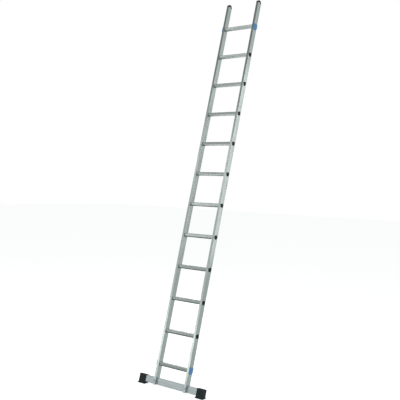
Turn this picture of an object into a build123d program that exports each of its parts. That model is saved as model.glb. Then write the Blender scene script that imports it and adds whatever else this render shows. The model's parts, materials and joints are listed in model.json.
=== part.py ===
from build123d import *
import os

# Single-section leaning ladder with a stabiliser crossbar, in millimetres.
#
# Everything is first built in the ladder's own frame: X across the ladder, with the climber's
# left at -X; Y through its depth, with the climber's side at -Y; Z up along the stiles, with
# z = 0 on the axis of the lowest rung. place() then leans the ladder back to its working
# angle and puts the origin on the floor, at the centre of the ladder's footprint.

# ---- driving dimensions ---------------------------------------------------------------
LEAN = 15.0                 # degrees from the vertical: the usual 75 degree working angle
RUNG_COUNT = 12
RUNG_PITCH = 280.0
LADDER_WIDTH = 344.0        # across the outer faces of the stiles

STILE_WIDTH = 22.0          # box section, X
STILE_DEPTH = 52.0          # box section, Y
STILE_WALL = 1.8
STILE_CORNER = 2.5
RECESS_WIDTH = 43.0         # shallow channel rolled into both broad faces
RECESS_DEPTH = 0.6
STILE_ABOVE_TOP_RUNG = 254.0

RUNG_SIZE = 33.0            # flat tread on top, half round below
RUNG_WALL = 1.4
TREAD_CORNER = 4.0
TREAD_GROOVES = 5
TREAD_GROOVE_WIDTH = 1.4
TREAD_GROOVE_DEPTH = 0.5
TREAD_GROOVE_PITCH = 3.8
BEAD_GROWTH = 1.8           # swaged collar against the inner face of the stile
BEAD_LENGTH = 3.5
FLARE_GROWTH = 1.4          # turned-over rim against the outer face of the stile
FLARE_LENGTH = 1.0

PLUG_HEAD = 2.0
PLUG_STEM = 12.0
PLUG_ROUND = 0.8

CAP_HEIGHT = 58.0           # blue cap over the ends of the lowest and highest rungs
CAP_THICKNESS = 5.0
CAP_MARGIN = 1.0
CAP_CORNER = 5.0
CAP_ROUND = 1.8
TOP_CAP_DROP = 9.0          # the highest pair of caps hangs lower over its rung

CROWN_BAND = 15.0           # black band around the rounded stile top
CROWN_INSERT = 20.0
CROWN_ROUND = 2.0

BAR_HEIGHT = 56.0
BAR_DEPTH = 30.0
BAR_WALL = 2.0
BAR_CORNER = 3.0
BAR_SETBACK = 18.0          # front face of the bar behind the front face of the stile
BAR_TOP = -117.0
BAR_HALF_LENGTH = 336.0

FOOT_INNER = 270.0          # inboard edge of the foot, X
FOOT_END_WALL = 7.0
FOOT_WALL = 4.0
FOOT_ROUND = 3.0
SOLE_DEPTH = 46.0
SOLE_THICKNESS = 9.0
SOLE_ROUND = 3.0             # also how far the sole stands out past the shoe
SOLE_GROOVES = 4
SOLE_GROOVE_WIDTH = 4.0
SOLE_GROOVE_DEPTH = 3.0
FLOOR_BELOW_BAR = 15.0      # floor under the middle of the bar, measured along the stile
GRIP_SLOTS = 5
GRIP_SLOT_WIDTH = 4.0
GRIP_SLOT_DEPTH = 1.2
GRIP_SLOT_HEIGHT = 40.0

BOLT = 8.0
BOLT_HOLE = 8.4
BOLT_HEAD = 19.0
BOLT_HEAD_HEIGHT = 4.4
BOLT_TAIL = 3.0
WASHER = 16.0
WASHER_THICKNESS = 1.6
NUT_FLATS = 13.0
NUT_HEIGHT = 8.0
SLEEVE = 14.0

SCREW = 4.0
SCREW_HEAD = 8.0
SCREW_HEAD_HEIGHT = 2.4
SCREW_LENGTH = 12.0

# ---- places worked out from them --------------------------------------------------------
OUTER_FACE = LADDER_WIDTH / 2
INNER_FACE = OUTER_FACE - STILE_WIDTH
STILE_X = OUTER_FACE - STILE_WIDTH / 2
FRONT_FACE = -STILE_DEPTH / 2
REAR_FACE = STILE_DEPTH / 2
TOP_RUNG_Z = (RUNG_COUNT - 1) * RUNG_PITCH
STILE_TOP = TOP_RUNG_Z + STILE_ABOVE_TOP_RUNG
ARCH_RADIUS = STILE_DEPTH / 2
ARCH_Z = STILE_TOP - ARCH_RADIUS
TONGUE_RADIUS = ARCH_RADIUS - CROWN_BAND

BAR_FRONT = FRONT_FACE + BAR_SETBACK
BAR_REAR = BAR_FRONT + BAR_DEPTH
BAR_Y = (BAR_FRONT + BAR_REAR) / 2
BAR_BOTTOM = BAR_TOP - BAR_HEIGHT
BAR_Z = BAR_TOP - BAR_HEIGHT / 2
FLOOR_Y = BAR_Y
FLOOR_Z = BAR_BOTTOM - FLOOR_BELOW_BAR
FOOT_OUTER = BAR_HALF_LENGTH + FOOT_END_WALL
FOOT_X = (FOOT_INNER + FOOT_OUTER) / 2
FOOT_LENGTH = FOOT_OUTER - FOOT_INNER
FOOT_FRONT = BAR_FRONT - FOOT_WALL
FOOT_REAR = BAR_REAR + FOOT_WALL
FOOT_TOP = BAR_TOP + FOOT_WALL
SOLE_LENGTH = FOOT_LENGTH + 2 * SOLE_ROUND

RUNG_FACE = OUTER_FACE - RECESS_DEPTH        # outer wall where the rung is turned over
BEAD_FACE = INNER_FACE + RECESS_DEPTH        # inner wall where the collar sits
PLUG_FACE = RUNG_FACE + FLARE_LENGTH
SIDES = {"left": -1, "right": 1}

os.makedirs("parts", exist_ok=True)
nodes = {}


def on_side(solid, side):
    """The solid as built for the right-hand stile, or its mirror image for the left one."""
    return solid if side == "right" else mirror(solid, about=Plane.YZ)


def both_sides(solid):
    """A right-hand solid and its mirror image as one group of separate solids."""
    return [solid, mirror(solid, about=Plane.YZ)]


def level(solid):
    """Turn a solid that is modelled level with the floor into the ladder's own frame."""
    return Rot(X=LEAN) * solid


def levelled(y, z):
    """A point in the ladder's frame as (depth, height) in level axes, from the lowest rung."""
    point = Vector(0, y, z).rotate(Axis.X, -LEAN)
    return point.Y, point.Z


def along_x(face, start, end):
    """Extrude a profile drawn in sketch axes (Y, Z) from x = start to x = end."""
    return Pos(start, 0, 0) * extrude(Plane.YZ * face, amount=end - start)


def rod_y(diameter, x, z, start, end):
    """A round rod along Y."""
    middle = Pos(x, (start + end) / 2, z) * Rot(X=90)
    return middle * Cylinder(diameter / 2, end - start)


# ---- rungs --------------------------------------------------------------------------------
def rung_profile(growth=0.0, grooved=False):
    """Flat tread over a half round, drawn level, grown or shrunk by growth."""
    radius = RUNG_SIZE / 2 + growth
    profile = Circle(radius) + Pos(0, radius / 2) * Rectangle(2 * radius, radius)
    corners = profile.vertices().sort_by(Axis.Y)[-2:]
    profile = fillet(corners, max(TREAD_CORNER + growth, 1.0))
    if grooved:
        groove = Rectangle(TREAD_GROOVE_WIDTH, 2 * TREAD_GROOVE_DEPTH)
        for index in range(TREAD_GROOVES):
            offset_y = (index - (TREAD_GROOVES - 1) / 2) * TREAD_GROOVE_PITCH
            profile -= Pos(offset_y, radius) * groove
    return profile


def rung_prism(start, end, growth=0.0, grooved=False):
    return level(along_x(rung_profile(growth, grooved), start, end))


def make_rung():
    """One rung: a grooved tube, a collar inside each stile and a turned-over rim outside."""
    rung = rung_prism(-BEAD_FACE, BEAD_FACE, grooved=True)
    for sign in (-1, 1):
        ends = sorted((sign * BEAD_FACE, sign * PLUG_FACE))
        rung += rung_prism(ends[0], ends[1])
        collar = sorted((sign * BEAD_FACE, sign * (BEAD_FACE - BEAD_LENGTH)))
        rung += rung_prism(collar[0], collar[1], BEAD_GROWTH)
        rim = sorted((sign * RUNG_FACE, sign * PLUG_FACE))
        rung += rung_prism(rim[0], rim[1], FLARE_GROWTH)
    return rung - rung_prism(-PLUG_FACE, PLUG_FACE, -RUNG_WALL)


def make_rung_plug():
    """Black plug in the open end of a rung, right-hand side."""
    head = rung_prism(PLUG_FACE, PLUG_FACE + PLUG_HEAD, FLARE_GROWTH)
    outer_edges = head.edges().filter_by_position(Axis.X, PLUG_FACE + 1, PLUG_FACE + 3)
    head = fillet(outer_edges, PLUG_ROUND)
    return head + rung_prism(PLUG_FACE - PLUG_STEM, PLUG_FACE, -RUNG_WALL)


def make_rung_cap(drop=0.0):
    """Blue cap over a rung end, right-hand side: square top, half-round foot, hollow back."""
    width = STILE_DEPTH - 2 * CAP_MARGIN
    radius = width / 2
    straight = CAP_HEIGHT - radius
    outline = Pos(0, CAP_HEIGHT / 2 - straight / 2) * Rectangle(width, straight)
    outline += Pos(0, radius - CAP_HEIGHT / 2) * Circle(radius)
    outline = fillet(outline.vertices().sort_by(Axis.Y)[-2:], CAP_CORNER)
    plate = along_x(Pos(0, -drop) * outline, OUTER_FACE, OUTER_FACE + CAP_THICKNESS)
    face_edges = plate.edges().group_by(Axis.X)[-1]
    plate = fillet(face_edges, CAP_ROUND)
    room = rung_prism(OUTER_FACE, PLUG_FACE, FLARE_GROWTH)
    stem = rung_prism(PLUG_FACE - PLUG_STEM, PLUG_FACE, -RUNG_WALL)
    return plate - room + stem


# ---- stiles ---------------------------------------------------------------------------------
def make_stile():
    """Right-hand stile: box section, rounded top, rear half cut away for the crossbar."""
    section = RectangleRounded(STILE_WIDTH, STILE_DEPTH, STILE_CORNER)
    section -= Rectangle(STILE_WIDTH - 2 * STILE_WALL, STILE_DEPTH - 2 * STILE_WALL)
    for sign in (-1, 1):
        section -= Pos(sign * STILE_WIDTH / 2, 0) * Rectangle(2 * RECESS_DEPTH, RECESS_WIDTH)
    stile = Pos(STILE_X, 0, BAR_BOTTOM) * extrude(section, amount=STILE_TOP - BAR_BOTTOM)

    above_arch = Pos(STILE_X, 0, ARCH_Z + STILE_DEPTH / 2)
    crown = above_arch * Box(2 * STILE_WIDTH, 2 * STILE_DEPTH, STILE_DEPTH)
    crown -= Pos(STILE_X, 0, ARCH_Z) * Rot(Y=90) * Cylinder(TONGUE_RADIUS, 3 * STILE_WIDTH)
    stile -= crown

    notch_depth = REAR_FACE - BAR_FRONT
    notch_at = Pos(STILE_X, BAR_FRONT + notch_depth, BAR_Z)
    stile -= notch_at * Box(2 * STILE_WIDTH, 2 * notch_depth, BAR_HEIGHT)

    stile -= rod_y(BOLT_HOLE, STILE_X, BAR_Z, FRONT_FACE, BAR_FRONT)
    hole = rung_prism(INNER_FACE, OUTER_FACE)
    for index in range(RUNG_COUNT):
        stile -= Pos(0, 0, index * RUNG_PITCH) * hole
    return stile


def make_top_cap():
    """Black cap on the rounded top of the right-hand stile, with its insert in the tube."""
    half = Pos(0, ARCH_RADIUS / 2) * Rectangle(2 * ARCH_RADIUS, ARCH_RADIUS)
    band = (Circle(ARCH_RADIUS) - Circle(TONGUE_RADIUS)) & half
    band = Pos(0, ARCH_Z) * band
    cap = along_x(band, INNER_FACE, OUTER_FACE)
    arch_edges = cap.edges().filter_by(GeomType.CIRCLE).sort_by(lambda edge: edge.radius)[-2:]
    cap = fillet(arch_edges, CROWN_ROUND)
    inside = STILE_WALL
    insert_depth = STILE_DEPTH - 2 * STILE_WALL
    insert = Pos(0, ARCH_Z - CROWN_INSERT / 2) * Rectangle(insert_depth, CROWN_INSERT)
    insert += Pos(0, ARCH_Z) * (Circle(TONGUE_RADIUS) & half)
    return cap + along_x(insert, INNER_FACE + inside, OUTER_FACE - inside)


def make_end_plug():
    """Black plug under the front part of the right-hand stile, in front of the crossbar."""
    head = Box(STILE_WIDTH, BAR_SETBACK, PLUG_HEAD, align=(Align.CENTER, Align.MIN, Align.MAX))
    plug = Pos(STILE_X, FRONT_FACE, BAR_BOTTOM) * head
    stem_depth = BAR_SETBACK - STILE_WALL
    stem = Box(
        STILE_WIDTH - 2 * STILE_WALL,
        stem_depth,
        PLUG_STEM,
        align=(Align.CENTER, Align.MIN, Align.MIN),
    )
    return plug + Pos(STILE_X, FRONT_FACE + STILE_WALL, BAR_BOTTOM) * stem


# ---- crossbar and feet ----------------------------------------------------------------------------
def make_crossbar():
    """Rectangular tube, drilled for the two stile bolts and the two foot screws."""
    section = RectangleRounded(BAR_DEPTH, BAR_HEIGHT, BAR_CORNER)
    inner_corner = BAR_CORNER - BAR_WALL
    hollow_size = (BAR_DEPTH - 2 * BAR_WALL, BAR_HEIGHT - 2 * BAR_WALL)
    section -= RectangleRounded(*hollow_size, inner_corner)
    bar = along_x(Pos(BAR_Y, BAR_Z) * section, -BAR_HALF_LENGTH, BAR_HALF_LENGTH)
    for sign in (-1, 1):
        bar -= rod_y(BOLT_HOLE, sign * STILE_X, BAR_Z, BAR_FRONT, BAR_REAR)
        bar -= rod_y(SCREW, sign * FOOT_X, BAR_Z, BAR_Y, BAR_REAR)
    return bar


def make_foot():
    """Right-hand rubber foot: a shoe over the end of the bar on a level, grooved sole."""
    floor = levelled(FLOOR_Y, FLOOR_Z)[1]
    depth = FOOT_REAR - FOOT_FRONT
    height = FOOT_TOP - FLOOR_Z
    foot_y = (FOOT_FRONT + FOOT_REAR) / 2
    shoe = Pos(FOOT_X, foot_y, FLOOR_Z + height / 2) * Box(FOOT_LENGTH, depth, height)
    shoe = fillet(shoe.edges().group_by(Axis.Z)[-1] + shoe.edges().filter_by(Axis.Z), FOOT_ROUND)

    sole_y = levelled(foot_y, FLOOR_Z)[0]
    sole = Pos(FOOT_X, sole_y, floor + SOLE_THICKNESS / 2)
    sole = sole * Box(SOLE_LENGTH, SOLE_DEPTH, SOLE_THICKNESS)
    sole = fillet(sole.edges().group_by(Axis.Z)[-1] + sole.edges().filter_by(Axis.Z), SOLE_ROUND)
    below = Pos(FOOT_X, sole_y, floor) * Box(
        2 * SOLE_LENGTH, 2 * SOLE_DEPTH, SOLE_DEPTH, align=(Align.CENTER, Align.CENTER, Align.MAX)
    )
    for index in range(SOLE_GROOVES):
        groove_y = sole_y + (index - (SOLE_GROOVES - 1) / 2) * 2 * SOLE_GROOVE_WIDTH
        groove = Box(2 * SOLE_LENGTH, SOLE_GROOVE_WIDTH, 2 * SOLE_GROOVE_DEPTH)
        below += Pos(FOOT_X, groove_y, floor) * groove
    foot = shoe + level(sole) - level(below)

    for index in range(GRIP_SLOTS):
        slot_x = FOOT_X + (index - (GRIP_SLOTS - 1) / 2) * 2.5 * GRIP_SLOT_WIDTH
        slot = Box(GRIP_SLOT_WIDTH, 2 * GRIP_SLOT_DEPTH, GRIP_SLOT_HEIGHT)
        foot -= Pos(slot_x, FOOT_FRONT, BAR_Z) * slot
    pocket = RectangleRounded(BAR_DEPTH, BAR_HEIGHT, BAR_CORNER)
    foot -= along_x(Pos(BAR_Y, BAR_Z) * pocket, FOOT_INNER, BAR_HALF_LENGTH)
    return foot - rod_y(SCREW, FOOT_X, BAR_Z, BAR_REAR, FOOT_REAR)


def make_foot_screw():
    """Pan-head screw through the rear of the right-hand foot into the bar."""
    head = rod_y(SCREW_HEAD, FOOT_X, BAR_Z, FOOT_REAR, FOOT_REAR + SCREW_HEAD_HEIGHT)
    head = fillet(head.edges().group_by(Axis.Y)[-1], SCREW_HEAD_HEIGHT * 0.6)
    return head + rod_y(SCREW, FOOT_X, BAR_Z, FOOT_REAR - SCREW_LENGTH, FOOT_REAR)


# ---- crossbar fastening, right-hand side ---------------------------------------------------------
WASHER_END = BAR_REAR + WASHER_THICKNESS
NUT_END = WASHER_END + NUT_HEIGHT


def make_bolt():
    """Coach bolt from the front: low domed head and a shank through stile, bar and nut."""
    head = rod_y(BOLT_HEAD, STILE_X, BAR_Z, FRONT_FACE - BOLT_HEAD_HEIGHT, FRONT_FACE)
    head = fillet(head.edges().group_by(Axis.Y)[0], BOLT_HEAD_HEIGHT * 0.9)
    return head + rod_y(BOLT, STILE_X, BAR_Z, FRONT_FACE, NUT_END + BOLT_TAIL)


def ring_y(outer, start, end, bore=BOLT_HOLE):
    ring = rod_y(outer, STILE_X, BAR_Z, start, end)
    return ring - rod_y(bore, STILE_X, BAR_Z, start, end)


def make_nut():
    """Lock nut: hexagon with a rounded collar."""
    hexagon = RegularPolygon(NUT_FLATS / 2, 6, major_radius=False)
    flats = Pos(STILE_X, WASHER_END, BAR_Z) * Rot(X=-90) * extrude(hexagon, NUT_HEIGHT * 0.8)
    collar = rod_y(NUT_FLATS * 0.92, STILE_X, BAR_Z, WASHER_END, NUT_END)
    collar = fillet(collar.edges().group_by(Axis.Y)[-1], 1.0)
    return flats + collar - rod_y(BOLT, STILE_X, BAR_Z, WASHER_END, NUT_END)


# ---- placing and writing ------------------------------------------------------------------------------
def add(name, shape):
    nodes[name] = shape if isinstance(shape, list) else [shape]


def make_rung_ends(number, index):
    """Rung, and a plug or a blue cap in each of its ends."""
    at = Pos(0, 0, index * RUNG_PITCH)
    add(f"rung_{number}", at * rung)
    closure = end_caps.get(index, rung_plug)
    kind = "cap" if index in end_caps else "plug"
    for side in SIDES:
        add(f"rung_{number}_{kind}_{side}", at * on_side(closure, side))


rung = make_rung()
rung_plug = make_rung_plug()
end_caps = {0: make_rung_cap(), RUNG_COUNT - 1: make_rung_cap(TOP_CAP_DROP)}
for rung_index in range(RUNG_COUNT):
    make_rung_ends(f"{rung_index + 1:02d}", rung_index)

pairs = {
    "stile": make_stile(),
    "stile_top_cap": make_top_cap(),
    "stile_end_plug": make_end_plug(),
    "crossbar_foot": make_foot(),
}
for pair_name, right_solid in pairs.items():
    for side_name in SIDES:
        add(f"{pair_name}_{side_name}", on_side(right_solid, side_name))

add("crossbar", make_crossbar())
add("crossbar_bolts", both_sides(make_bolt()))
add("crossbar_washers", both_sides(ring_y(WASHER, BAR_REAR, WASHER_END)))
add("crossbar_nuts", both_sides(make_nut()))
add("stile_spacer_sleeves", both_sides(ring_y(SLEEVE, FRONT_FACE + STILE_WALL, BAR_FRONT)))
add("crossbar_spacer_sleeves", both_sides(ring_y(SLEEVE, BAR_FRONT + BAR_WALL, BAR_REAR - BAR_WALL)))
add("foot_screws", both_sides(make_foot_screw()))

leaned = {name: [Rot(X=-LEAN) * solid for solid in solids] for name, solids in nodes.items()}
boxes = [solid.bounding_box() for solids in leaned.values() for solid in solids]
front = min(box.min.Y for box in boxes)
rear = max(box.max.Y for box in boxes)
floor_level = min(box.min.Z for box in boxes)
place = Pos(0, -(front + rear) / 2, -floor_level)
for name, solids in leaned.items():
    placed = [place * solid for solid in solids]
    shape = placed[0] if len(placed) == 1 else Compound(children=placed)
    export_step(shape, f"parts/{name}.step")
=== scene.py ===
"""Looks, light and camera for the leaning ladder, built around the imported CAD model.

The frame is the CAD's: metres, +Z up from the floor, X across the ladder, and the ladder leans
towards +Y. The CAD parts carry every shape, so this script gives each one its material.
"""
import json
import math

import bpy
from mathutils import Matrix, Quaternion, Vector

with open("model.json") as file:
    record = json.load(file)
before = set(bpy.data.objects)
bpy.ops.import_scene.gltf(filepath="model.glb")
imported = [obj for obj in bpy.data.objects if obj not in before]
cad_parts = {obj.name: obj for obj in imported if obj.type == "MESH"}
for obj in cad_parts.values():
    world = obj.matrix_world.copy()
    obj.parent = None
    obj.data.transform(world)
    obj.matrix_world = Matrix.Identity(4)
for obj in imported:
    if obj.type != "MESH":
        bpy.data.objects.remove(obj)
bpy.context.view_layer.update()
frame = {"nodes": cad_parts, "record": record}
nodes = frame["nodes"]

LEAN = math.radians(15.0)           # the stiles lean back from the vertical

# Camera, at the height of a standing photographer's eye, in front and to the right.
CAMERA_AT = Vector((3.3643, -4.6347, 1.7262))
CAMERA_AZIMUTH = math.radians(36.74)
CAMERA_ELEVATION = math.radians(-1.51)
CAMERA_ROLL = math.radians(1.90)
CAMERA_LENS = 58.7
SENSOR = 36.0

# Studio brightness by elevation in degrees, for light and reflections; 1.0 is paper white.
STUDIO_LEVELS = [
    (-90.0, 0.15),
    (-45.0, 0.17),
    (-24.0, 0.48),
    (-15.0, 0.54),
    (-9.0, 0.48),
    (-5.0, 0.32),
    (3.0, 0.28),
    (11.0, 0.68),
    (18.0, 0.46),
    (26.0, 0.46),
    (34.0, 0.20),
    (60.0, 0.12),
]
STUDIO_TINT = (0.95, 1.0, 0.99)
SOFTBOX_TILT = math.radians(-9.3)   # the near edge of the rear right box follows the ladder's lean

FLOOR_SIZE = 60.0
FLOOR_COLOUR = (0.86, 0.86, 0.86, 1.0)
FLOOR_ROUGHNESS = 0.9
FLOOR_GLOW = 0.77
WHITE = (1.0, 1.0, 1.0, 1.0)

# Metal tones, and the darker and lighter colour of each moulding.
STILE_TONE = (0.72, 0.79, 0.76)
RUNG_TONE = (0.60, 0.65, 0.63)
CROSSBAR_TONE = (0.63, 0.69, 0.70)
ZINC_BLUE = (0.60, 0.64, 0.70)
ZINC_GREY = (0.70, 0.70, 0.68)
ZINC_STRAW = (0.72, 0.66, 0.52)
BLACK = ((0.005, 0.006, 0.006), (0.010, 0.011, 0.011))
BLUE = ((0.064, 0.235, 0.50), (0.078, 0.260, 0.54))
RUBBER = ((0.011, 0.018, 0.018), (0.022, 0.033, 0.034))

# Noise patterns: their scale in waves per metre.
EVEN = (1.0, 1.0, 1.0)
DIE_LINES = (420.0, 0.6)            # across and along the extrusion
STREAKS = (90.0, 1.5)
CLOUDS = 9.0
MARKS = 55.0
MOTTLE = 30.0
SCUFFS = 120.0
SCUFF_STRETCH = (1.0, 1.0, 3.0)
ZINC_PATCHES = 260.0
ZINC_GRAIN = 2200.0
NOISE_LOW = 0.3                     # most of a noise texture's values lie between these
NOISE_HIGH = 0.7

# Depths of surface relief, in metres.
DIE_LINE_DEPTH = 0.00002
STREAK_DEPTH = 0.00004
ZINC_DEPTH = 0.00001

# Sockets of a Mix node in colour mode.
MIX_FACTOR = 0
MIX_FIRST = 6
MIX_SECOND = 7
MIX_RESULT = 2


# ---- node helpers -------------------------------------------------------------------------
class Shader:
    """A material's node tree, with short calls to add and join nodes."""

    def __init__(self, name):
        self.material = bpy.data.materials.new(name)
        self.material.use_nodes = True
        self.tree = self.material.node_tree
        self.bsdf = self.tree.nodes["Principled BSDF"]

    def add(self, kind):
        return self.tree.nodes.new(kind)

    def join(self, output, socket):
        self.tree.links.new(output, socket)

    def ladder_point(self, stretch):
        """Object coordinates turned so that Z runs along the stiles, then stretched."""
        where = self.add("ShaderNodeTexCoord")
        upright = self.add("ShaderNodeMapping")
        upright.inputs["Rotation"].default_value = (LEAN, 0.0, 0.0)
        self.join(where.outputs["Object"], upright.inputs["Vector"])
        stretched = self.add("ShaderNodeMapping")
        stretched.inputs["Scale"].default_value = stretch
        self.join(upright.outputs["Vector"], stretched.inputs["Vector"])
        return stretched.outputs["Vector"]

    def noise(self, stretch, scale, detail=2.0, roughness=0.5):
        texture = self.add("ShaderNodeTexNoise")
        texture.inputs["Scale"].default_value = scale
        texture.inputs["Detail"].default_value = detail
        texture.inputs["Roughness"].default_value = roughness
        self.join(self.ladder_point(stretch), texture.inputs["Vector"])
        return texture.outputs["Fac"]

    def ramp(self, factor, stops):
        """A colour ramp from (position, colour) stops."""
        ramp = self.add("ShaderNodeValToRGB")
        set_stops(ramp.color_ramp, stops)
        self.join(factor, ramp.inputs["Fac"])
        return ramp.outputs["Color"]

    def spread(self, factor, low, high):
        """Map a noise to a value between low and high."""
        mapped = self.add("ShaderNodeMapRange")
        mapped.inputs["From Min"].default_value = NOISE_LOW
        mapped.inputs["From Max"].default_value = NOISE_HIGH
        mapped.inputs["To Min"].default_value = low
        mapped.inputs["To Max"].default_value = high
        self.join(factor, mapped.inputs["Value"])
        return mapped.outputs["Result"]

    def fade(self, factor, colour, plain):
        """Fade a colour towards a plain one."""
        mixer = self.add("ShaderNodeMix")
        mixer.data_type = "RGBA"
        self.join(factor, mixer.inputs[MIX_FACTOR])
        self.join(colour, mixer.inputs[MIX_FIRST])
        mixer.inputs[MIX_SECOND].default_value = (*plain, 1.0)
        return mixer.outputs[MIX_RESULT]

    def total(self, first, second):
        adder = self.add("ShaderNodeMath")
        adder.operation = "ADD"
        self.join(first, adder.inputs[0])
        self.join(second, adder.inputs[1])
        return adder.outputs["Value"]

    def bump(self, height, depth, before=None):
        """Bump of a given depth in metres, on top of an earlier one."""
        bump = self.add("ShaderNodeBump")
        bump.inputs["Strength"].default_value = 1.0
        bump.inputs["Distance"].default_value = depth
        self.join(height, bump.inputs["Height"])
        if before is not None:
            self.join(before, bump.inputs["Normal"])
        return bump.outputs["Normal"]


def set_stops(color_ramp, stops):
    """Give a colour ramp its (position, colour) stops, in rising order."""
    while len(color_ramp.elements) < len(stops):
        color_ramp.elements.new(0.5)
    for element, (position, colour) in zip(color_ramp.elements, stops):
        element.position = position
        element.color = (*colour, 1.0)


def scaled(colour, factor):
    """A colour made lighter or darker, with no channel over 1."""
    return tuple(min(1.0, factor * channel) for channel in colour)


def drawn_out(axis, scales):
    """Noise stretch for a pattern drawn out along x or z, from its scales across and along."""
    across, along = scales
    return {"x": (along, across, across), "z": (across, across, along)}[axis]


# ---- materials -----------------------------------------------------------------------------
def aluminium(name, tone, roughness, axis):
    """Extruded aluminium: die lines along the extrusion, cloudy oxide and handling marks."""
    shader = Shader(name)
    bsdf = shader.bsdf
    lines = shader.noise(drawn_out(axis, DIE_LINES), 1.0, detail=3.0, roughness=0.7)
    streaks = shader.noise(drawn_out(axis, STREAKS), 1.0)
    clouds = shader.noise(EVEN, CLOUDS, detail=5.0, roughness=0.6)
    marks = shader.noise(EVEN, MARKS, detail=4.0, roughness=0.65)

    streaked = shader.ramp(streaks, [(0.25, scaled(tone, 0.88)), (0.75, scaled(tone, 1.05))])
    clouded = shader.fade(shader.spread(clouds, 0.0, 0.35), streaked, scaled(tone, 0.86))
    shader.join(clouded, bsdf.inputs["Base Color"])
    bsdf.inputs["Metallic"].default_value = 1.0

    soft = shader.spread(clouds, roughness - 0.04, roughness + 0.08)
    fine = shader.spread(marks, -0.03, 0.05)
    shader.join(shader.total(soft, fine), bsdf.inputs["Roughness"])

    normal = shader.bump(streaks, STREAK_DEPTH)
    shader.join(shader.bump(lines, DIE_LINE_DEPTH, normal), bsdf.inputs["Normal"])
    return shader.material


def moulded(name, colours, roughness, grain_scale, grain_depth, gloss=0.5):
    """Moulded plastic or rubber: fine grain, slight mottling and a little pale scuffing."""
    shader = Shader(name)
    bsdf = shader.bsdf
    dark, light = colours
    grain = shader.noise(EVEN, grain_scale)
    mottle = shader.noise(EVEN, MOTTLE, detail=4.0, roughness=0.6)
    scuffs = shader.noise(SCUFF_STRETCH, SCUFFS, detail=6.0, roughness=0.75)

    mottled = shader.ramp(mottle, [(0.3, dark), (0.72, light)])
    scuffed = shader.fade(shader.spread(scuffs, -0.25, 0.12), mottled, scaled(light, 2.2))
    shader.join(scuffed, bsdf.inputs["Base Color"])
    shader.join(shader.spread(mottle, roughness - 0.06, roughness + 0.08), bsdf.inputs["Roughness"])
    shader.join(shader.bump(grain, grain_depth), bsdf.inputs["Normal"])
    bsdf.inputs["Specular IOR Level"].default_value = gloss
    return shader.material


def zinc_steel(name):
    """Zinc-plated steel: bright, with faint blue and straw passivation tints."""
    shader = Shader(name)
    bsdf = shader.bsdf
    patches = shader.noise(EVEN, ZINC_PATCHES, detail=3.0)
    tints = shader.ramp(patches, [(0.3, ZINC_BLUE), (0.5, ZINC_GREY), (0.7, ZINC_STRAW)])
    shader.join(tints, bsdf.inputs["Base Color"])
    bsdf.inputs["Metallic"].default_value = 1.0
    shader.join(shader.spread(patches, 0.26, 0.40), bsdf.inputs["Roughness"])
    grain = shader.noise(EVEN, ZINC_GRAIN, detail=1.0)
    shader.join(shader.bump(grain, ZINC_DEPTH), bsdf.inputs["Normal"])
    return shader.material


def give_materials():
    """Assign each CAD node the material of its slot in the record."""
    by_slot = {
        "stile_aluminium": aluminium("stile_aluminium", STILE_TONE, 0.22, "z"),
        "rung_aluminium": aluminium("rung_aluminium", RUNG_TONE, 0.22, "x"),
        "crossbar_aluminium": aluminium("crossbar_aluminium", CROSSBAR_TONE, 0.30, "x"),
        "sleeve_aluminium": aluminium("sleeve_aluminium", STILE_TONE, 0.35, "z"),
        "black_plastic": moulded("black_plastic", BLACK, 0.50, 1800.0, 0.00004, gloss=0.25),
        "blue_plastic": moulded("blue_plastic", BLUE, 0.36, 1500.0, 0.00003),
        "foot_rubber": moulded("foot_rubber", RUBBER, 0.68, 900.0, 0.00010),
        "zinc_steel": zinc_steel("zinc_steel"),
    }
    for subpart in frame["record"]["subparts"]:
        piece = nodes[subpart["node"]]
        piece.data.materials.clear()
        piece.data.materials.append(by_slot[subpart["material_slot"]])


# ---- stage ---------------------------------------------------------------------------------
def make_floor():
    """Plain pale floor. Polished metal reflects the studio round it instead."""
    bpy.ops.mesh.primitive_plane_add(size=FLOOR_SIZE, location=(0.0, 0.0, 0.0))
    floor = bpy.context.object
    floor.name = "studio_floor"
    shader = Shader("pale_floor")
    shader.bsdf.inputs["Base Color"].default_value = FLOOR_COLOUR
    shader.bsdf.inputs["Roughness"].default_value = FLOOR_ROUGHNESS
    shader.bsdf.inputs["Specular IOR Level"].default_value = 0.0
    shader.bsdf.inputs["Emission Color"].default_value = WHITE
    shader.bsdf.inputs["Emission Strength"].default_value = FLOOR_GLOW
    floor.data.materials.append(shader.material)
    floor.visible_glossy = False


def make_world():
    """White behind the object. Light and reflections come from a grey studio, level by level."""
    world = bpy.data.worlds.new("studio")
    bpy.context.scene.world = world
    world.use_nodes = True
    tree = world.node_tree
    tree.nodes.clear()
    where = tree.nodes.new("ShaderNodeTexCoord")
    parts = tree.nodes.new("ShaderNodeSeparateXYZ")
    tree.links.new(where.outputs["Generated"], parts.inputs["Vector"])
    height = tree.nodes.new("ShaderNodeMapRange")
    height.inputs["From Min"].default_value = -1.0
    height.inputs["From Max"].default_value = 1.0
    tree.links.new(parts.outputs["Z"], height.inputs["Value"])
    ramp = tree.nodes.new("ShaderNodeValToRGB")
    set_stops(ramp.color_ramp, [studio_stop(*level) for level in STUDIO_LEVELS])
    tree.links.new(height.outputs["Result"], ramp.inputs["Fac"])
    studio = tree.nodes.new("ShaderNodeBackground")
    tree.links.new(ramp.outputs["Color"], studio.inputs["Color"])
    white = tree.nodes.new("ShaderNodeBackground")
    white.inputs["Color"].default_value = WHITE
    ray = tree.nodes.new("ShaderNodeLightPath")
    choose = tree.nodes.new("ShaderNodeMixShader")
    tree.links.new(ray.outputs["Is Camera Ray"], choose.inputs["Fac"])
    tree.links.new(studio.outputs["Background"], choose.inputs[1])
    tree.links.new(white.outputs["Background"], choose.inputs[2])
    output = tree.nodes.new("ShaderNodeOutputWorld")
    tree.links.new(choose.outputs["Shader"], output.inputs["Surface"])


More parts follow.
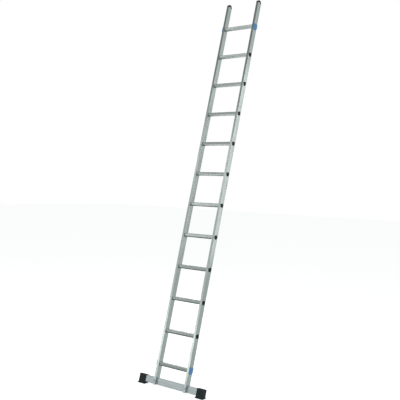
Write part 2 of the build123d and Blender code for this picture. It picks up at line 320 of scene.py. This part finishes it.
def studio_stop(elevation, level):
    """Ramp stop for a studio level: its place is the height of that elevation, from 0 to 1."""
    position = (math.sin(math.radians(elevation)) + 1.0) / 2.0
    return position, scaled(STUDIO_TINT, level)


def add_softbox(name, at, towards, size, brightness, tilt=0.0, in_reflections=True):
    """A soft rectangular light aimed at a point, as bright as its surface looks in a mirror."""
    width, height = size
    light = bpy.data.lights.new(name, "AREA")
    light.shape = "RECTANGLE"
    light.size = width
    light.size_y = height
    light.energy = brightness * math.pi * width * height
    lamp = bpy.data.objects.new(name, light)
    bpy.context.scene.collection.objects.link(lamp)
    lamp.location = at
    lamp.rotation_mode = "QUATERNION"
    aim = (Vector(towards) - Vector(at)).to_track_quat("-Z", "Y")
    lamp.rotation_quaternion = aim @ Quaternion((0.0, 0.0, 1.0), tilt)
    lamp.visible_camera = False
    lamp.visible_glossy = in_reflections


def make_lights():
    """The front boxes light the climber's side, the rear ones the inner walls and the treads."""
    add_softbox("front_left", (-2.9, -4.4, 1.2), (0.0, 0.0, 1.2), (3.4, 0.9), 0.95)
    add_softbox("front_left_high", (-2.6, -3.9, 4.2), (0.0, 0.0, 2.0), (2.6, 0.9), 0.50)
    add_softbox("rear_left", (-2.6, 3.2, 1.0), (0.0, 0.0, 1.0), (2.6, 1.7), 1.15)
    add_softbox("rear_right", (1.50, 0.87, 2.05), (0.0, 0.0, 2.05), (1.3, 2.2), 1.15, tilt=SOFTBOX_TILT)
    add_softbox("floor_bounce", (-2.4, -0.5, 0.02), (-2.4, -0.5, 3.0), (2.2, 3.4), 1.00)
    add_softbox("overhead_fill", (-0.8, -1.6, 5.5), (0.0, 0.0, 1.0), (3.0, 3.0), 2.5, in_reflections=False)


def make_camera():
    data = bpy.data.cameras.new("camera")
    data.lens = CAMERA_LENS
    data.sensor_width = SENSOR
    camera = bpy.data.objects.new("camera", data)
    bpy.context.scene.collection.objects.link(camera)
    facing = Matrix.Rotation(CAMERA_AZIMUTH, 4, "Z")
    tilt = Matrix.Rotation(math.pi / 2 + CAMERA_ELEVATION, 4, "X")
    roll = Matrix.Rotation(CAMERA_ROLL, 4, "Z")
    camera.matrix_world = Matrix.Translation(CAMERA_AT) @ facing @ tilt @ roll
    bpy.context.scene.camera = camera


bpy.context.scene.view_settings.view_transform = "Standard"
make_camera()
make_floor()
make_world()
make_lights()
give_materials()
